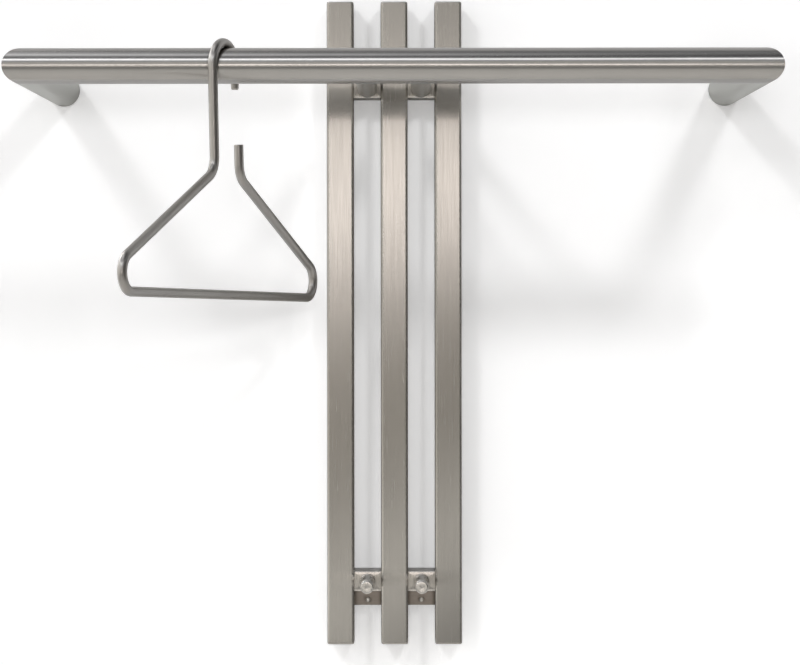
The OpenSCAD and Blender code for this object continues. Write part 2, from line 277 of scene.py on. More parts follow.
# %% One material for all the steels
def steel(name, colour, roughness, anisotropy, groove=None, axis=None, turned=None, rod=False,
          grain=(0.4, 0.4, 30.0), streak=6.0, cloud=40.0, contrast=0.05, bump=0.006, edge=0.5,
          corner=0.7, dull=None, lean=0.0):
    """Bare metal with a grain.

    groove is the direction of straight grooves; axis that of a tube whose grooves run round it;
    turned that of a turned piece whose object's origin lies on its axis; rod stands for a bent rod
    whose UV map gives the way along it and round it in mm. grain is the spacing of the finest noise
    in mm (X, Y and Z; on a turned piece by radius and along the axis; on a rod along and round),
    streak how many times wider the visible streaks are, cloud the size of the patches in mm, bump
    the depth of the noise in mm, edge the width in mm of the edges painted bright as wear and as a
    highlight, and corner how much painted shade darkens a tight corner. dull is the axis of faces
    that were left as they came from the mill, beyond edges that were broken with a stone and are
    painted brighter as a highlight, and lean how much the parts of a set lean away from each other,
    per metre sideways and down.
    """
    material, tree, output = new_tree(name)
    normal = add(tree, "ShaderNodeNewGeometry").outputs["Normal"]
    coordinates = add(tree, "ShaderNodeTexCoord")
    place = coordinates.outputs["Object"]
    in_mm = add(tree, "ShaderNodeVectorMath", {0: place, 1: (PER_MM,) * 3},
                operation="MULTIPLY").outputs[0]
    spots = coordinates.outputs["UV"] if rod else in_mm
    if turned:
        spots = ring_spots(tree, spots, turned)
    per_grain = [1 / spacing for spacing in grain]
    fine_spots = add(tree, "ShaderNodeVectorMath", {0: spots, 1: per_grain},
                     operation="MULTIPLY").outputs[0]
    fine = add(tree, "ShaderNodeTexNoise", {"Vector": fine_spots, "Scale": 1.0, "Detail": 3.0,
                                            "Roughness": 0.6}).outputs[0]
    tone = streaks_and_patches(tree, fine_spots, in_mm, streak, cloud)
    ground = add(tree, "ShaderNodeMix", {0: tone, 6: scaled(colour, 1 - contrast),
                                         7: scaled(colour, 1 + contrast)},
                 data_type="RGBA").outputs[2]
    if dull:
        ground = mill_faces_and_edge_highlight(tree, ground, normal, dull, colour)
    ground = wear_and_highlight_edges(tree, ground, normal, colour, edge)
    ground = shaded_corners(tree, ground, corner)

    rough = add(tree, "ShaderNodeMapRange", {"Value": fine, "From Min": FINE_NOISE[0],
                                             "From Max": FINE_NOISE[1],
                                             "To Min": roughness * (1 - ROUGHNESS_SPREAD),
                                             "To Max": roughness * (1 + ROUGHNESS_SPREAD)})
    height = add(tree, "ShaderNodeBump", {"Height": fine, "Strength": BUMP_STRENGTH,
                                          "Distance": bump * MM})
    if lean:
        tree.links.new(leaning(tree, normal, place, lean), height.inputs["Normal"])
    look = {"Base Color": ground, "Metallic": 1.0, "Roughness": rough.outputs[0],
            "Anisotropic": anisotropy, "Normal": height.outputs[0]}
    if anisotropy:
        look["Tangent"] = across_grooves(tree, normal, place, groove, axis, turned)
    shader = add(tree, "ShaderNodeBsdfPrincipled", look)
    tree.links.new(shader.outputs[0], output.inputs["Surface"])
    print("material", name, "colour", colour, "roughness", roughness)
    return material


# %% [markdown]
# ## The finishes of the rack
# - The bars are square tube, ground along their length on a belt. Their grooves run up and down, so
#   a reflection stays narrow in height and spreads sideways, which gives each bar its slow bands.
#   The right bar is drawn in a slightly darker copy of the same steel.
# - The crossbars were welded in before the grinding, so their fronts have the bars' grain. They and
#   the strips are cold rolled flat steel, whose upper and lower faces keep the grey of the mill. The
#   strips' steel is drawn darker, as painted shade of the recess behind the bars.
# - The rail and its returns are tube polished along X or Y after grinding: thin lines of light run
#   along the rail, and only long soft smudges show in them.
# - The studs and pegs are turned, the pegs finer, with rings on their front faces.
# - The hanger is drawn rod, smoother than the rest, with faint lines along the rod.
# - The screws and bolts are plain stainless, and the inserts are turned aluminium.

# %% Finishes
belt_ground = {"groove": UP, "grain": (0.35, 0.35, 40.0)}
bar_look = {**belt_ground, "contrast": 0.03, "bump": 0.004, "lean": 0.264}
finishes = {
    "bar_steel": steel("belt_ground_stainless_bar", "#CBC8C3", 0.25, 1.0, **bar_look),
    # the strips' colour is darkened as painted shade of the recess behind the bars
    "strip_steel": steel("satin_rolled_stainless_strip_painted_shade", "#9A928A", 0.34, 0.5,
                         groove=(1.0, 0.02, 0.03), grain=(25.0, 0.4, 0.4), contrast=0.07,
                         dull=(0.0, 0.0, 1.0)),
    "tube_steel": steel("round_polished_stainless_tube", "#C8C6C3", 0.20, 0.5,
                        axis=(1.0, 0.0, 0.0), grain=(60.0, 1.5, 1.5), contrast=0.04, bump=0.010),
    "stud_steel": steel("turned_stainless_stud", "#B9B6B0", 0.32, 0.8, axis=(0.0, 1.0, 0.0),
                        grain=(12.0, 0.4, 12.0), contrast=0.06),
    "peg_steel": steel("fine_turned_stainless_peg", "#E8E5E0", 0.20, 0.7, turned=(0.0, 1.0, 0.0),
                       grain=(0.3, 0.3, 1.0), contrast=0.10, bump=0.01),
    "rod_steel": steel("drawn_stainless_rod", "#BFBCB8", 0.32, 0.0, rod=True,
                       grain=(30.0, 0.6, 1.0), contrast=0.05),
    "screw_steel": steel("plain_stainless_screw", "#F2EFEA", 0.34, 0.0,
                         grain=(0.3, 0.3, 0.3), contrast=0.06, corner=0.2),
    "insert_aluminium": steel("turned_aluminium_insert", "#D6D7D8", 0.35, 0.5,
                              axis=(0.0, 1.0, 0.0), grain=(8.0, 0.4, 8.0), contrast=0.05),
}
block_steel = steel("belt_ground_stainless_block", "#DCD8D2", 0.27, 0.9, **belt_ground,
                    contrast=0.02, bump=0.001, corner=0.3, dull=(0.0, 0.0, 1.0))
right_bar_steel = steel("belt_ground_stainless_right_bar", "#C6C3BE", 0.25, 1.0, **bar_look)
return_steel = steel("round_polished_stainless_return", "#D8D9D3", 0.24, 0.5,
                     axis=(0.0, 1.0, 0.0), grain=(1.5, 60.0, 1.5), contrast=0.04, bump=0.006)
own_finish = {"bar_right": right_bar_steel, "return_tube_left": return_steel,
              "return_tube_right": return_steel}
slot_of = {row["node"]: row["material_slot"] for row in frame["record"]["subparts"]}
for name, part in nodes.items():
    part.data.materials.clear()
    part.data.materials.append(own_finish.get(name, finishes[slot_of[name]]))
print("nodes dressed:", len(nodes))

# %% [markdown]
# ## Pieces from rings
# Most pieces of the rack are round or have one section all along, so they can be made in the same
# way: a list of rings with the same number of points, joined into a skin and closed at both ends.
# A turned part is a stack of circles, a bent rod a row of circles that follow its route, and an end
# cap a stack of rounded squares. Rings cost little and keep the edges exactly where they are meant
# to be, which sculpting or boolean cuts would not.

# %% Skins
def skin(rings, closed=False, uv_step=None):
    """A bmesh skin over the rings. closed joins the last ring to the first one; uv_step lists how
    far along each ring lies in mm, and gives the skin a UV map in mm along and round."""
    build = bmesh.new()
    rows = [[build.verts.new(point) for point in ring] for ring in rings]
    sides = len(rows[0])
    around = [0.0]
    for i in range(sides):
        around.append(around[-1] + (rings[0][(i + 1) % sides] - rings[0][i]).length * PER_MM)
    uv_map = build.loops.layers.uv.new("along_and_round") if uv_step else None
    last = len(rows) if closed else len(rows) - 1
    for j in range(last):
        for i in range(sides):
            k = (i + 1) % sides
            step = (j + 1) % len(rows)
            face = build.faces.new((rows[j][i], rows[j][k], rows[step][k], rows[step][i]))
            if uv_map:
                corners = ((j, i), (j, i + 1), (j + 1, i + 1), (j + 1, i))
                for loop, (row, column) in zip(face.loops, corners):
                    loop[uv_map].uv = (uv_step[row], around[column])
    if not closed:
        build.faces.new(rows[0])
        build.faces.new(rows[-1])
    return build


def circle_points(radius, sides):
    """Points of a circle with its first one on the first axis."""
    return [(radius * math.cos(2 * math.pi * i / sides), radius * math.sin(2 * math.pi * i / sides))
            for i in range(sides)]


def turned_skin(profile, sides=48, closed=False):
    """A turned part along Y. Each row of the profile is a place on the axis and a radius in mm."""
    rings = [[Vector((x * MM, along * MM, z * MM)) for x, z in circle_points(radius, sides)]
             for along, radius in profile]
    return skin(rings, closed=closed)


print("48 sides lie within", round(100 * (1 - math.cos(math.pi / 48)), 2), "% of a circle's radius")


# %% Pieces
def make_piece(name, build, slot, body="rack", origin=(0, 0, 0), stands_for=(), sharp=35,
               finish=None):
    """Turns a bmesh into a piece with its finish and its body, and hides the nodes it stands for."""
    bmesh.ops.recalc_face_normals(build, faces=build.faces)
    mesh = bpy.data.meshes.new(name)
    build.to_mesh(mesh)
    build.free()
    mesh.shade_smooth()
    mesh.set_sharp_from_angle(angle=math.radians(sharp))
    mesh.materials.append(finish or finishes[slot])
    piece = bpy.data.objects.new(name, mesh)
    piece.location = origin
    bpy.context.scene.collection.objects.link(piece)
    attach(piece, body)
    if stands_for:
        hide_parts(*stands_for)
    print("piece", name, "faces", len(mesh.polygons))
    return piece


def join(builds):
    """Several bmeshes as one."""
    whole = bmesh.new()
    for build in builds:
        mesh = bpy.data.meshes.new("part")
        build.to_mesh(mesh)
        build.free()
        whole.from_mesh(mesh)
        bpy.data.meshes.remove(mesh)
    return whole


print("meshes so far, all from the packed model:", len(bpy.data.meshes))

# %% [markdown]
# ## The hanger
# The real hanger is one 8 mm rod, bent cold on a former: a hook over the rail, a shank, a triangle
# and a short free end. A circle swept along the route gives exactly that. The route is given by its
# corners in the hanger's own plane, every corner gets the radius of its former, and the whole is
# turned to where it hangs. The free end is sawn square with a small chamfer, and the hook's tail is
# ground slimmer, so that it slips over the rail.

# %% The hanger's sizes
(_, rail_front, _), (rail_right, rail_back, _) = box_mm("rail_tube")
RAIL = rail_back - rail_front
RAIL_REACH = -(rail_front + rail_back) / 2
ROD = 8.0
HOOK_GAP = 0.15
HANGER_WIDTH = 376.0
HANGER_DROP = 191.0
HANGER_SHIFT = 5.0
SHOULDER = math.radians(25.6)
HANGER_PLACE = (-141.3, -RAIL_REACH, 0.0)
HANGER_TURN = math.radians(68.5)
HANGER_TILT = math.radians(1.05)
HOOK_TAIL_X, HOOK_SHANK_X, HOOK_TAIL_Z = 21.25, -23.25, -18.0
SHANK_FOOT_X, FREE_FOOT_X, FREE_LENGTH, FREE_LEAN = -16.5, 31.5, 27.4, 2.0
CORNER_BEND, NECK_BEND, HOOK_BEND = 15.0, 18.0, 21.2
ROD_SIDES = 36
CHAMFER = 0.6
# the hook's tail is ground slimmer: the way from its end and how far it is drawn in, in mm
TAIL_END = [(0.0, 1.5), (0.5, 1.0), (1.5, 0.75), (6.5, 0.55), (10.0, 0.15), (13.0, 0.0)]

crown = RAIL / 2 + ROD / 2 + HOOK_GAP
corner_run = CORNER_BEND / math.tan(SHOULDER / 2)
left_corner = HANGER_SHIFT - HANGER_WIDTH / 2 + ROD / 2 + CORNER_BEND - corner_run
right_corner = HANGER_SHIFT + HANGER_WIDTH / 2 - ROD / 2 - CORNER_BEND + corner_run
shank_end = -HANGER_DROP + (SHANK_FOOT_X - left_corner) * math.tan(SHOULDER)
free_end = -HANGER_DROP + (right_corner - FREE_FOOT_X) * math.tan(SHOULDER)
HANGER_ROUTE = [
    (HOOK_TAIL_X, HOOK_TAIL_Z), (HOOK_TAIL_X, crown), (HOOK_SHANK_X, crown),
    (SHANK_FOOT_X, shank_end), (left_corner, -HANGER_DROP), (right_corner, -HANGER_DROP),
    (FREE_FOOT_X, free_end), (FREE_FOOT_X - FREE_LEAN, free_end + FREE_LENGTH),
]
HANGER_RADII = [HOOK_BEND, HOOK_BEND, NECK_BEND, CORNER_BEND, CORNER_BEND, NECK_BEND]
print("rail", RAIL, "mm, its axis", RAIL_REACH, "mm from the wall; crown at", round(crown, 2))


# %% The bent rod
def bent_route(corners, radii, arc_step=6.0):
    """Points and headings along a route whose inner corners are rounded, in its own plane."""
    corners = [Vector(c) for c in corners]
    heading = (corners[1] - corners[0]).normalized()
    route = [(corners[0], heading)]
    for i, radius in enumerate(radii, start=1):
        after = (corners[i + 1] - corners[i]).normalized()
        turn = math.atan2(heading.x * after.y - heading.y * after.x, heading.dot(after))
        start = corners[i] - heading * radius * math.tan(abs(turn) / 2)
        centre = start + Vector((-heading.y, heading.x)) * math.copysign(radius, turn)
        steps = max(2, math.ceil(abs(math.degrees(turn)) / arc_step))
        for k in range(steps + 1):
            swing = Matrix.Rotation(turn * k / steps, 2)
            route.append((centre + swing @ (start - centre), swing @ heading))
        heading = after
    route.append((corners[-1], heading))
    return route


route = bent_route(HANGER_ROUTE, HANGER_RADII)
first, last = route[0], route[-1]
stations = [(first[0] + first[1] * way, first[1], ROD / 2 - inset) for way, inset in TAIL_END]
stations += [(point, heading, ROD / 2) for point, heading in route[1:-1]]
stations += [(last[0] - last[1] * CHAMFER, last[1], ROD / 2),
             (last[0], last[1], ROD / 2 - CHAMFER)]
hang = (Matrix.Translation(Vector(HANGER_PLACE)) @ Matrix.Rotation(HANGER_TURN, 4, "Z")
        @ Matrix.Rotation(HANGER_TILT, 4, "Y"))
rings, along = [], []
for point, heading, radius in stations:
    side = Vector((heading.y, 0, -heading.x))
    middle = Vector((point.x, 0, point.y))
    rings.append([(hang @ (middle + side * a + Vector((0, b, 0)))) * MM
                  for a, b in circle_points(radius, ROD_SIDES)])
    along.append(along[-1] + (point - before).length if along else 0.0)
    before = point
make_piece("hanger_rod", skin(rings, uv_step=along), "rod_steel", "hanger",
           stands_for=["hanger"])

# %% [markdown]
# ## The rail's front tube
# A tube that is ground round and then polished shows every flat spot as a bend in its long
# highlights. The tube is therefore drawn again with 120 even facets and smooth shading, from the
# left mitre along the outside to the right mitre and back along the bore. Each point of an end ring
# lies where its own line meets the mitre's plane, so both ends come out at 45 degrees.

# %% Rail tube
RAIL_WALL = 2.0
MITRE_X = rail_right - RAIL / 2
TUBE_SIDES = 120
RAIL_STATIONS = (0.0, 0.25, 0.5, 0.75, 1.0)


def rail_ring(share, radius):
    """A ring of the front tube, share of the way from the left mitre to the right one."""
    ring = []
    for y, z in circle_points(radius, TUBE_SIDES):
        half = MITRE_X - y
        ring.append(Vector((half * (2 * share - 1), y - RAIL_REACH, z)) * MM)
    return ring


outside = [rail_ring(share, RAIL / 2) for share in RAIL_STATIONS]
bore = [rail_ring(share, RAIL / 2 - RAIL_WALL) for share in reversed(RAIL_STATIONS)]
make_piece("rail_polished", skin(outside + bore, closed=True), "tube_steel",
           stands_for=["rail_tube"])

# %% [markdown]
# ## The pegs
# A peg is turned from 14 mm bar on a lathe: a collar that rests on the crossbar, the shaft, a neck
# behind the tip and a flat disc in front with its edge broken. A stack of circles follows the
# lathe's cuts. The object's origin lies on the peg's axis, so that the finish can draw its rings
# round that axis. A thin undercut behind the collar gives the dark line that parts it from the bar.

# %% Pegs
(_, BLOCK_FRONT, block_foot), (_, _, block_head) = box_mm("block_lower_left")
PEG_HEIGHT = (block_foot + block_head) / 2
BAR_PITCH = box_mm("bar_middle")[0][0] - box_mm("bar_left")[0][0]
# place in front of the crossbar and radius, from the tapped hole round to the middle of the disc
PEG_PROFILE = [
    (14.0, 2.2), (12.8, 3.0), (0.6, 3.0), (0.0, 3.4), (0.0, 5.9), (0.35, 5.9), (0.4, 6.7),
    (0.6, 6.95), (0.85, 7.0), (1.15, 6.95), (1.4, 6.7), (1.5, 6.4), (1.5, 6.15), (1.75, 6.0),
    (37.5, 6.0), (37.9, 5.85), (38.15, 5.5), (38.3, 5.0), (38.6, 4.65), (39.2, 4.5),
    (43.8, 4.5), (44.4, 4.65), (44.7, 5.0), (44.85, 5.5), (45.1, 5.85), (45.5, 6.0),
    (48.7, 6.0), (49.2, 5.9), (49.6, 5.65), (49.85, 5.3), (49.95, 4.9), (50.0, 4.5),
    (49.97, 3.4), (49.94, 2.2), (49.92, 1.0), (49.75, 0.5), (49.6, 0.15),
]
for side, name in ((-1, "left"), (1, "right")):
    build = turned_skin([(-front, radius) for front, radius in PEG_PROFILE])
    make_piece(f"peg_turned_{name}", build, "peg_steel", stands_for=[f"peg_{name}"], sharp=50,
               origin=(side * BAR_PITCH / 2 * MM, BLOCK_FRONT * MM, PEG_HEIGHT * MM))

# %% [markdown]
# ## The end caps of the bars
# Each bar is a tube with a 2 mm plate welded into its end and ground flush. The grinding rounds the
# outer edge, which is why the bars' corners look soft in the picture. A cap is a stack of rounded
# squares: a plug inside the tube, the plate's side, and a rounding of 1.6 mm up to the flat end.

# %% End caps
BAR_CORNER, LEAST_CORNER = 2.5, 0.9
PLATE = 2.0
PLUG_DEPTH, PLUG_INSET = 6.0, 2.1
CAP_ROUNDING = 1.6
# height above the plate's inner face and how far the section is drawn in, in mm
CAP_LEVELS = [(-PLUG_DEPTH, PLUG_INSET), (0.0, PLUG_INSET), (0.0, 0.0)] + [
    (PLATE - CAP_ROUNDING + CAP_ROUNDING * math.sin(math.radians(a)),
     CAP_ROUNDING * (1 - math.cos(math.radians(a)))) for a in (0, 18, 36, 54, 72, 90)]


def rounded_rectangle(width, height, corner, steps=6):
    """Corner points of a rectangle with round corners, in mm."""
    points = []
    for quarter, (right, up) in enumerate(((1, 1), (-1, 1), (-1, -1), (1, -1))):
        centre = Vector((right * (width / 2 - corner), up * (height / 2 - corner)))
        for k in range(steps + 1):
            angle = (quarter + k / steps) * math.pi / 2
            points.append(centre + Vector((math.cos(angle), math.sin(angle))) * corner)
    return points


for side in ("left", "middle", "right"):
    (left, front, foot), (right, back, head) = box_mm(f"bar_{side}")
    x, y = (left + right) / 2, (front + back) / 2
    for end, level, way in (("top", head, 1), ("bottom", foot, -1)):
        rings = []
        for height, inset in CAP_LEVELS:
            width = right - left - 2 * inset
            section = rounded_rectangle(width, width, max(BAR_CORNER - inset, LEAST_CORNER))
            rings.append([Vector((x + p.x, y + p.y, level + way * height)) * MM for p in section])
        make_piece(f"bar_cap_{end}_{side}", skin(rings), "bar_steel",
                   finish=right_bar_steel if side == "right" else None,
                   stands_for=[f"bar_{end}_plate_{side}"])

# %% [markdown]
# ## The wall screws
# The strips are held by four screws with a small domed head and a hexagon socket, each on a washer
# in the strips' darkened steel, which carries the same painted shade, and the returns by two larger
# countersunk ones inside their inserts. Behind the wall's face a wood screw has a plain neck, then a
# thread that runs out in a point. The thread is a grid whose rows climb by one pitch for each turn,
# so its crest is a true helix. That is geometry and not bump, because it shows from behind.

# %% Threads and heads
SCREW_SIDES = 24
THREAD_ROWS = 8
# height of the thread over its core for each row of one turn
THREAD_SHAPE = [0.0, 0.0, 0.0, 0.35, 1.0, 0.35, 0.0, 0.0]
# the radius of the point's end, as a share of the thread's
POINT_SHARE = 0.12


def threaded_skin(start, end, crest, core, pitch):
    """A threaded shank along Y with a point at its end, in mm."""
    build = bmesh.new()
    turns = math.ceil((end - start) / pitch) + 1
    point_from = end - 2 * crest
    rows = []
    for i in range((turns + 1) * THREAD_ROWS + 1):
        row = []
        for j in range(SCREW_SIDES):
            along = start + pitch * (i / THREAD_ROWS + j / SCREW_SIDES - 1)
            inside = start < along < end
            height = THREAD_SHAPE[i % THREAD_ROWS] if inside else 0.0
            along = min(max(along, start), end)
            to_end = (end - along) / (end - point_from)
            taper = min(1.0, POINT_SHARE + (1 - POINT_SHARE) * to_end)
            radius = (core + (crest - core) * height) * taper
            angle = 2 * math.pi * j / SCREW_SIDES
            row.append(build.verts.new(Vector((radius * math.cos(angle), along,
                                               radius * math.sin(angle))) * MM))
        rows.append(row)
    for i in range(turns * THREAD_ROWS):
        for j in range(SCREW_SIDES - 1):
            build.faces.new((rows[i][j], rows[i][j + 1], rows[i + 1][j + 1], rows[i + 1][j]))
        build.faces.new((rows[i][-1], rows[i + THREAD_ROWS][0], rows[i + 1 + THREAD_ROWS][0],
                         rows[i + 1][-1]))
    bmesh.ops.remove_doubles(build, verts=build.verts, dist=1e-6)
    bmesh.ops.dissolve_degenerate(build, edges=build.edges, dist=1e-6)
    loose = [v for v in build.verts if not v.link_faces]
    bmesh.ops.delete(build, geom=loose, context="VERTS")
    bmesh.ops.holes_fill(build, edges=build.edges, sides=0)
    return build


def socket_ring(flats, along):
    """One ring of a hexagon socket whose flats lie that far apart, in mm."""
    ring = []
    for i in range(SCREW_SIDES):
        angle = 2 * math.pi * i / SCREW_SIDES
        swing = (angle + math.pi / 6) % (math.pi / 3) - math.pi / 6
        radius = flats / 2 / math.cos(swing)
        ring.append(Vector((radius * math.cos(angle), along, radius * math.sin(angle))) * MM)
    return ring


def head_skin(profile, flats, depth):
    """A screw's plain neck and its head with a socket. profile is in front of Y = 0, in mm."""
    circles = [[Vector((x, -front, z)) * MM for x, z in circle_points(radius, SCREW_SIDES)]
               for front, radius in profile]
    top = profile[-1][0]
    return skin(circles + [socket_ring(flats, -top), socket_ring(flats, depth - top)])


print("rows for a 30 mm thread of 1.8 mm pitch:", (math.ceil(30 / 1.8) + 2) * THREAD_ROWS + 1)

# %% Screws and washers
# place in front of the seat and radius, in mm
DOMED = [(-6.0, 1.7), (0.35, 1.7), (0.4, 1.9), (0.5, 2.1), (0.7, 2.15), (0.9, 2.05), (1.15, 1.8),
         (1.35, 1.45), (1.47, 1.1), (1.52, 0.8)]
WASHER = [(0.0, 1.75), (0.0, 3.3), (0.08, 3.45), (0.2, 3.45), (0.32, 3.2), (0.38, 2.7),
          (0.4, 1.75)]
COUNTERSUNK = [(-5.0, 2.2), (-2.8, 2.2), (-2.5, 2.5), (-0.15, 4.9), (0.0, 4.8), (0.0, 2.4)]
SCREW_INSET = 5.3
INSERT_FLOOR = -5.0
(_, STRIP_FRONT, upper_foot), (_, _, upper_head) = box_mm("wall_strip_upper")
(_, _, lower_foot), (_, _, lower_head) = box_mm("wall_strip_lower")
screw_heights = {"upper": upper_head - SCREW_INSET, "lower": lower_foot + SCREW_INSET}
for way, side in ((-1, "left"), (1, "right")):
    for level, z in screw_heights.items():
        seat = (way * BAR_PITCH / 2 * MM, STRIP_FRONT * MM, z * MM)
        screw = join([head_skin(DOMED, flats=1.1, depth=0.3),
                      threaded_skin(start=6.0, end=36.0, crest=2.0, core=1.35, pitch=1.8)])
        make_piece(f"strip_screw_{level}_{side}", screw, "screw_steel", sharp=40, origin=seat,
                   stands_for=["strip_wall_screws"])
        washer = turned_skin([(-front, radius) for front, radius in WASHER], closed=True)
        # the washer takes the strips' darkened steel, so it carries the same painted shade
        make_piece(f"strip_washer_{level}_{side}", washer, "screw_steel", sharp=40, origin=seat,
                   finish=finishes["strip_steel"], stands_for=["strip_wall_screws"])
    screw = join([head_skin(COUNTERSUNK, flats=3.3, depth=1.8),
                  threaded_skin(start=5.0, end=50.0, crest=2.5, core=1.7, pitch=2.2)])
    make_piece(f"return_screw_{side}", screw, "screw_steel", sharp=40,
               origin=(way * MITRE_X * MM, INSERT_FLOOR * MM, 0.0),
               stands_for=["return_wall_screws"])

# %% [markdown]
# ## Welds and crossbar blocks
# The strips are welded to the backs of the bars and the studs to the rail, with small beads that
# only show from above, below and behind. A bead is laid drop by drop, so its thickness swells and
# shrinks by a few hundredths along its way. The blocks between the bars are rounded along their
# upper and lower front edges, which catch a line of light. A block is one closed skin: it starts at
# the bore, runs over the front face and its rounding to the back, and returns to the bore.

# %% Welds
BEAD_SIDES = 12
DROP = 1.7
SWELLING, END_SHARE = 0.10, 0.45
STRIP_BEAD, STRIP_BEAD_LENGTH, STRIP_BEAD_STEPS = 1.3, 19.0, 60
STUD_BEAD, STUD_BEAD_STEPS = 0.9, 120
STUD_RADIUS, BEAD_SUNK = 9.0, 0.15


def bead_skin(path, radius, closed=False):
    """A weld bead along a path in mm, with one swelling for each drop."""
    rings, along = [], 0.0
    count = len(path)
    for i, point in enumerate(path):
        after = path[(i + 1) % count] if closed or i + 1 < count else point
        before = path[i - 1] if closed or i else point
        heading = (after - before).normalized()
        side = heading.orthogonal().normalized() if not rings else \
            (side - heading * side.dot(heading)).normalized()
        other = heading.cross(side)
        along += (point - before).length if i else 0.0
        swell = radius * (1 + SWELLING * math.sin(2 * math.pi * along / DROP))
        if not closed and i in (0, count - 1):
            swell *= END_SHARE
        rings.append([(point + side * a + other * b) * MM
                      for a, b in circle_points(swell, BEAD_SIDES)])
    return skin(rings, closed=closed)


for level, edges in (("upper", (upper_foot, upper_head)), ("lower", (lower_foot, lower_head))):
    beads = []
    for x in (-BAR_PITCH, 0.0, BAR_PITCH):
        for z in edges:
            path = [Vector((x + STRIP_BEAD_LENGTH * (k / STRIP_BEAD_STEPS - 0.5), STRIP_FRONT, z))
                    for k in range(STRIP_BEAD_STEPS + 1)]
            beads.append(bead_skin(path, STRIP_BEAD))
    make_piece(f"strip_welds_{level}", join(beads), "strip_steel", sharp=60)
for x, side in ((-BAR_PITCH / 2, "left"), (BAR_PITCH / 2, "right")):
    ring = []
    for across, z in circle_points(STUD_RADIUS - BEAD_SUNK, STUD_BEAD_STEPS):
        reach = math.sqrt((RAIL / 2) ** 2 - z ** 2)
        ring.append(Vector((x + across, -RAIL_REACH + reach, z)))
    make_piece(f"stud_weld_{side}", bead_skin(ring, STUD_BEAD, closed=True), "stud_steel",
               sharp=60)

# %% Crossbar blocks
BLOCK_BORE = 3.2
BLOCK_CORNER = 0.25
UPPER_ROUNDING, LOWER_ROUNDING = 1.3, 2.0
BLOCK_STEPS = 5


def block_skin(low, high):
    """A bored block with rounded front edges: one closed skin from the bore round to it."""
    (left, front, foot), (right, back, head) = low, high
    x, z = (left + right) / 2, (foot + head) / 2
    section = rounded_rectangle(right - left, head - foot, BLOCK_CORNER)
    rings = [[Vector((x + p.x, back, z + p.y)) * MM for p in section]]
    for k in range(BLOCK_STEPS + 1):
        angle = k / BLOCK_STEPS * math.pi / 2
        ring = []
        for p in section:
            radius = UPPER_ROUNDING if p.y > 0 else LOWER_ROUNDING
            inset = math.copysign(radius * (1 - math.cos(angle)), p.y)
            ring.append(Vector((x + p.x, front + radius * (1 - math.sin(angle)),
                                z + p.y - inset)) * MM)
        rings.append(ring)
    bore = [Vector((p.x, p.y)).normalized() * BLOCK_BORE for p in section]
    for y in (front, back):
        rings.append([Vector((x + p.x, y, z + p.y)) * MM for p in bore])
    return skin(rings, closed=True)


for level in ("upper", "lower"):
    for side in ("left", "right"):
        name = f"block_{level}_{side}"
        make_piece(f"crossbar_{level}_{side}", block_skin(*box_mm(name)), "strip_steel",
                   sharp=40, finish=block_steel, stands_for=[name])

# %% [markdown]
# ## The wall, the floor and the light
# The rack hangs on a white wall. The wall is a stage piece: it catches the soft shadows and is open
# from behind, so that the rack can also be looked at from the back. To the camera it glows a
# little, which keeps it white without more light on the steel. Patches of painted light glow a
# little more and whiten parts of the soft shadows, and patches of painted shade glow a little less
# below the right return. Metal sees the same wall and floor a few steps darker, as the studio round
# the rack was, darker still towards the ceiling and brighter on the left, where a soft box stood.

# %% Soft patches
# How many times more the wall glows for the camera in each patch, and the patch's soft sides: a
# patch is painted light, or painted shade where its number has a minus. A side is an axis, the
# place where the patch ends and the place where it is full, in metres.
GLOW_PATCHES = {
    "below the right return": (0.55, [("X", 0.27, 0.31), ("Z", -0.12, -0.17)]),
    "close to the bars, left": (0.4, [("X", -0.10, -0.078), ("X", -0.045, -0.056)]),
    "at the right bar's foot": (0.6, [("X", 0.03, 0.06), ("Z", -0.43, -0.53)]),
    "low on the right": (0.2, [("X", 0.06, 0.10), ("Z", -0.22, -0.29)]),
    "low on the left": (0.2, [("X", -0.06, -0.10), ("Z", -0.22, -0.29)]),
    "under the bars": (0.35, [("X", -0.10, -0.06), ("X", 0.10, 0.06), ("Z", -0.52, -0.54)]),
    "right return's shade": (-0.24, [("X", 0.235, 0.265), ("X", 0.32, 0.295),
                                     ("Z", -0.20, -0.15), ("Z", 0.05, 0.02)]),
    "shade farther right": (-0.24, [("X", 0.295, 0.32), ("Z", -0.085, -0.055),
                                    ("Z", 0.05, 0.02)]),
}
# the patch of the wall that the soft box on the left lights, as metal sees it
LIT_PATCH = [("X", -0.47, -0.60), ("X", -1.70, -1.20), ("Z", 0.05, 0.16), ("Z", 1.0, 0.6)]
# the stretch over which the wall gets brighter to the left, as metal sees it
TO_LEFT = (-0.34, -0.80)


def soft_patch(tree, place, strength, sides):
    """strength inside the soft sides and nothing outside them."""
    light = strength
    for axis, dark, bright in sides:
        inside = add(tree, "ShaderNodeMapRange", {"Value": place.outputs[axis], "From Min": dark,
                                                  "From Max": bright})
        light = add(tree, "ShaderNodeMath", {0: light, 1: inside.outputs[0]},
                    operation="MULTIPLY").outputs[0]
    return light


print("patches in the wall's glow:", len(GLOW_PATCHES))


# %% Stage paint
def stage_plane(name, low, high, material):
    """A wall or floor between two corners."""
    (left, front, foot), (right, back, head) = low, high
    mesh = bpy.data.meshes.new(name)
    mesh.from_pydata([(left, front, foot), (right, front, foot), (right, back, head),
                      (left, back, head)], [], [(0, 1, 2, 3)])
    mesh.materials.append(material)
    plane = bpy.data.objects.new(name, mesh)
    bpy.context.scene.collection.objects.link(plane)
    return plane


def from_metal(tree, rays):
    """1 on a ray that metal or glass sends out, and 0 on any other."""
    return add(tree, "ShaderNodeMath", {0: rays.outputs["Is Glossy Ray"],
                                        1: rays.outputs["Is Transmission Ray"]},
               operation="MAXIMUM").outputs[0]


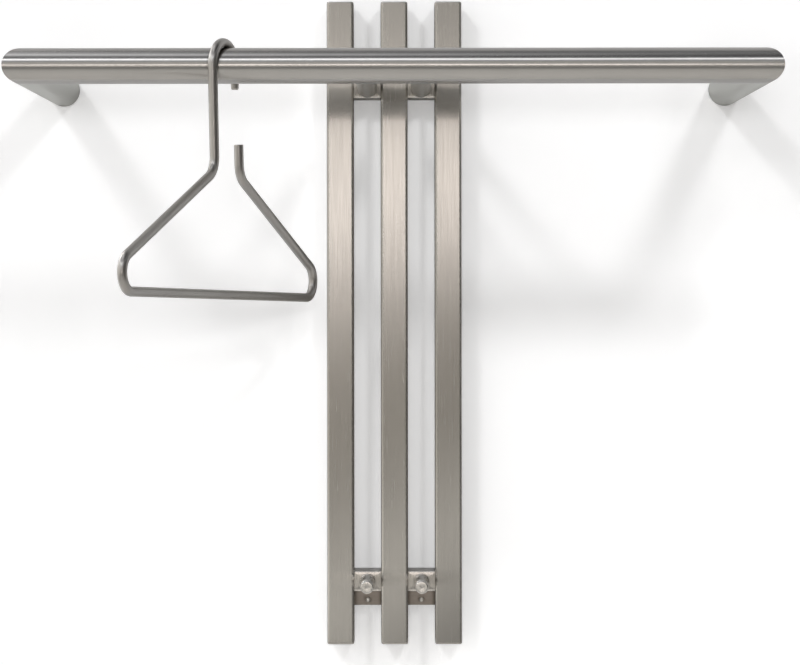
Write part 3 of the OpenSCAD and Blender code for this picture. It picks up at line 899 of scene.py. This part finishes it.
def stage_paint(name, colour, glow, near, far, left=1.0, patch=0.0):
    """Matt paint that is open from behind.

    glow is added for the camera, and GLOW_PATCHES say where there is more or less of it. near and
    far say how metal sees the paint: each is a place along an axis in metres and the share of the
    light there, as (axis, place, share). left is how many times more of it metal sees on the left,
    over the stretch TO_LEFT, and patch how much LIT_PATCH adds.
    """
    material, tree, output = new_tree(name)
    rays = add(tree, "ShaderNodeLightPath")
    place = add(tree, "ShaderNodeSeparateXYZ",
                {0: add(tree, "ShaderNodeTexCoord").outputs["Object"]})
    share = add(tree, "ShaderNodeMapRange", {"Value": place.outputs[near[0]],
                                             "From Min": near[1], "From Max": far[1],
                                             "To Min": near[2], "To Max": far[2]})
    leftward = add(tree, "ShaderNodeMapRange", {"Value": place.outputs["X"],
                                                "From Min": TO_LEFT[0], "From Max": TO_LEFT[1],
                                                "To Min": 1.0, "To Max": left})
    share = add(tree, "ShaderNodeMath", {0: share.outputs[0], 1: leftward.outputs[0]},
                operation="MULTIPLY")
    if patch:
        share = add(tree, "ShaderNodeMath", {0: share.outputs[0],
                                             1: soft_patch(tree, place, patch, LIT_PATCH)})
    dimmed = add(tree, "ShaderNodeVectorMath", {0: linear(colour)[:3],
                                                "Scale": share.outputs[0]}, operation="SCALE")
    tone = add(tree, "ShaderNodeMix", {0: from_metal(tree, rays), 6: linear(colour),
                                       7: dimmed.outputs[0]}, data_type="RGBA")
    matt = add(tree, "ShaderNodeBsdfDiffuse", {"Color": tone.outputs[2]})
    shine = add(tree, "ShaderNodeMath", {0: rays.outputs["Is Camera Ray"], 1: glow},
                operation="MULTIPLY")
    times = 1.0
    for more, sides in GLOW_PATCHES.values():
        times = add(tree, "ShaderNodeMath", {0: times, 1: soft_patch(tree, place, more, sides)}
                    ).outputs[0]
    shine = add(tree, "ShaderNodeMath", {0: shine.outputs[0], 1: times}, operation="MULTIPLY")
    added = add(tree, "ShaderNodeEmission", {"Strength": shine.outputs[0]})
    front = add(tree, "ShaderNodeAddShader", {0: matt.outputs[0], 1: added.outputs[0]})
    open_back = add(tree, "ShaderNodeBsdfTransparent")
    backfacing = add(tree, "ShaderNodeNewGeometry").outputs["Backfacing"]
    both = add(tree, "ShaderNodeMixShader", {0: backfacing, 1: front.outputs[0],
                                             2: open_back.outputs[0]})
    tree.links.new(both.outputs[0], output.inputs["Surface"])
    return material


# %% Wall and floor
WALL_GAP = 0.0002
FLOOR_HEIGHT, WALL_HEIGHT = -1.6, 3.0
STAGE_SIDE, STAGE_FRONT = 6.0, -8.0
wall = stage_plane("wall", (-STAGE_SIDE, WALL_GAP, FLOOR_HEIGHT),
                   (STAGE_SIDE, WALL_GAP, WALL_HEIGHT),
                   stage_paint("matt_white_wall", "#F4F4F5", 0.25, ("Z", 0.15, 0.71),
                               ("Z", 1.2, 0.30), left=2.1, patch=3.3))
floor = stage_plane("floor", (-STAGE_SIDE, STAGE_FRONT, FLOOR_HEIGHT),
                    (STAGE_SIDE, STAGE_SIDE, FLOOR_HEIGHT),
                    stage_paint("pale_floor", "#F2EFEA", 0.0, ("Y", -0.6, 0.91),
                                ("Y", -3.9, 0.60)))
print("stage:", wall.name, floor.name)

# %% [markdown]
# ## The studio that the steel mirrors
# Satin steel shows its surroundings as soft bands, so the surroundings are as much a part of its
# look as the metal. The world is a studio that changes with height: a pale low band, a strip light
# at 40 degrees and a dark ceiling, brighter on the left than on the right, with a window behind the
# camera and a soft box on the left. Only light that has to be seen in metal is drawn there; matt
# paint gets plain light, more of it from the left, and the camera a plain pale backdrop.

# %% The studio's bands and windows
WARM = (1.09, 1.0, 0.87)
PINK = (1.10, 1.0, 0.965)
PALE = (1.03, 1.0, 0.94)
COOL = (0.99, 1.0, 1.03)
# height above the horizon in degrees, brightness on the left and on the right, tint
BANDS = [
    (-90, 0.50, 0.50, WARM), (-12, 0.20, 0.20, PALE), (-8.3, 0.20, 0.20, PALE),
    (-7.6, 0.60, 0.58, PALE), (-6.6, 1.16, 1.12, PALE), (-5.7, 1.04, 1.02, PALE),
    (-4.9, 0.40, 0.41, PALE), (-3.3, 0.31, 0.31, WARM), (-1.5, 0.32, 0.32, WARM),
    (-0.2, 0.45, 0.46, PALE), (1.0, 0.58, 0.58, PALE), (4.4, 0.58, 0.58, PALE),
    (6.5, 0.50, 0.48, PALE), (10, 0.56, 0.56, PALE), (17, 0.50, 0.50, PALE),
    (24, 0.42, 0.40, COOL), (31, 0.50, 0.46, COOL), (32.5, 2.3, 0.50, COOL),
    (35.5, 2.8, 0.90, COOL), (36.5, 2.8, 2.7, COOL), (39.0, 2.3, 2.8, COOL),
    (40.5, 0.55, 2.5, COOL), (42.5, 0.36, 0.50, COOL), (46, 0.26, 0.30, COOL),
    (56, 0.22, 0.07, COOL), (62, 1.00, 0.07, COOL), (72, 1.50, 0.14, COOL),
    (80, 0.70, 0.24, COOL), (90, 0.24, 0.18, COOL),
]
# brightness, tint and soft sides of each window, by the X and Z of the direction to it
WINDOWS = {
    "behind the camera": (2.68, PINK, [("X", -0.22, -0.12), ("X", 0.18, 0.10),
                                       ("Z", 0.002, 0.016), ("Z", 0.078, 0.061)]),
    "on the left": (0.3, PALE, [("X", -0.45, -0.75), ("Z", -0.4, -0.1), ("Z", 0.8, 0.5)]),
}
# the X of the direction where the bands turn to their brightness on the left, from the right
TURN_TO_LEFT = (0.12, -0.30)
# where the bands start to fade to the right, where they are faded, and what is left of them
FADE_TO_RIGHT, FADED = (0.13, 0.44), 0.20
# the plain light on matt paint: none right of the first X, all of it at the second
PLAIN_FROM, PLAIN_LIGHT = (0.4, -1.0), 1.05
BACKDROP = 0.93
# a colour ramp holds colours up to 1, so the bands are written at a third of their brightness
RAMP_SCALE = 3.0
print("world bands:", len(BANDS), "windows:", len(WINDOWS))


# %% World
def band_ramp(tree, share, column):
    """A colour ramp over the sine of the height, at a third of its brightness."""
    ramp = add(tree, "ShaderNodeValToRGB", {0: share})
    stops = ramp.color_ramp.elements
    for row in BANDS[1:-1]:
        stops.new((math.sin(math.radians(row[0])) + 1) / 2)
    for stop, row in zip(stops, BANDS):
        stop.color = (*[row[column] * c / RAMP_SCALE for c in row[3]], 1.0)
    return ramp.outputs[0]


world = bpy.data.worlds.new("studio")
bpy.context.scene.world = world
world.use_nodes = True
sky = world.node_tree
sky.nodes.clear()
rays = add(sky, "ShaderNodeLightPath")
way = add(sky, "ShaderNodeSeparateXYZ", {0: add(sky, "ShaderNodeTexCoord").outputs["Generated"]})
share = add(sky, "ShaderNodeMath", {0: way.outputs["Z"], 1: 0.5, 2: 0.5},
            operation="MULTIPLY_ADD").outputs[0]
to_left = add(sky, "ShaderNodeMapRange", {"Value": way.outputs["X"],
                                          "From Min": TURN_TO_LEFT[0],
                                          "From Max": TURN_TO_LEFT[1]})
bands = add(sky, "ShaderNodeMix", {0: to_left.outputs[0], 6: band_ramp(sky, share, 2),
                                   7: band_ramp(sky, share, 1)}, data_type="RGBA")
fade = add(sky, "ShaderNodeMapRange", {"Value": way.outputs["X"], "From Min": FADE_TO_RIGHT[0],
                                       "From Max": FADE_TO_RIGHT[1], "To Min": RAMP_SCALE,
                                       "To Max": FADED * RAMP_SCALE})
studio = add(sky, "ShaderNodeBackground", {"Color": bands.outputs[2],
                                           "Strength": fade.outputs[0]})
for brightness, tint, sides in WINDOWS.values():
    light = soft_patch(sky, way, brightness, sides)
    window = add(sky, "ShaderNodeBackground", {"Color": (*tint, 1.0), "Strength": light})
    studio = add(sky, "ShaderNodeAddShader", {0: studio.outputs[0], 1: window.outputs[0]})
from_left = add(sky, "ShaderNodeMapRange", {"Value": way.outputs["X"],
                                            "From Min": PLAIN_FROM[0],
                                            "From Max": PLAIN_FROM[1], "To Max": PLAIN_LIGHT})
plain = add(sky, "ShaderNodeBackground", {"Color": (1, 1, 1, 1),
                                          "Strength": from_left.outputs[0]})
pale = add(sky, "ShaderNodeBackground", {"Color": (1, 1, 1, 1), "Strength": BACKDROP})
lit = add(sky, "ShaderNodeMixShader", {0: from_metal(sky, rays), 1: plain.outputs[0],
                                       2: studio.outputs[0]})
seen = add(sky, "ShaderNodeMixShader", {0: rays.outputs["Is Camera Ray"], 1: lit.outputs[0],
                                        2: pale.outputs[0]})
add(sky, "ShaderNodeOutputWorld", {"Surface": seen.outputs[0]})
print("world nodes:", len(sky.nodes))

# %% Lamps
AIM = (0.0, -0.1, -0.1)
# place in metres, size in metres and power in watts
LAMPS = {
    "soft_box_left": ((-2.61, -4.44, 3.29), (0.90, 0.60), 74.0),
    "soft_box_right": ((0.98, -2.15, 1.42), (0.36, 0.30), 15.0),
    "soft_box_front": ((0.0, -4.0, 0.12), (0.6, 0.3), 20.0),
}
for name, (place, size, power) in LAMPS.items():
    data = bpy.data.lights.new(name, "AREA")
    data.shape = "RECTANGLE"
    data.size, data.size_y = size
    data.energy = power
    box = bpy.data.objects.new(name, data)
    # it casts the shadows on the wall; metal sees the studio's own bands in its place
    box.visible_glossy = False
    box.location = place
    box.rotation_mode = "QUATERNION"
    box.rotation_quaternion = (Vector(place) - Vector(AIM)).to_track_quat("Z", "Y")
    bpy.context.scene.collection.objects.link(box)
    print("lamp", name, "at", place, "power", power)

# %% [markdown]
# ## Finish
# The picture is shown with the standard view transform.

bpy.context.scene.view_settings.view_transform = "Standard"
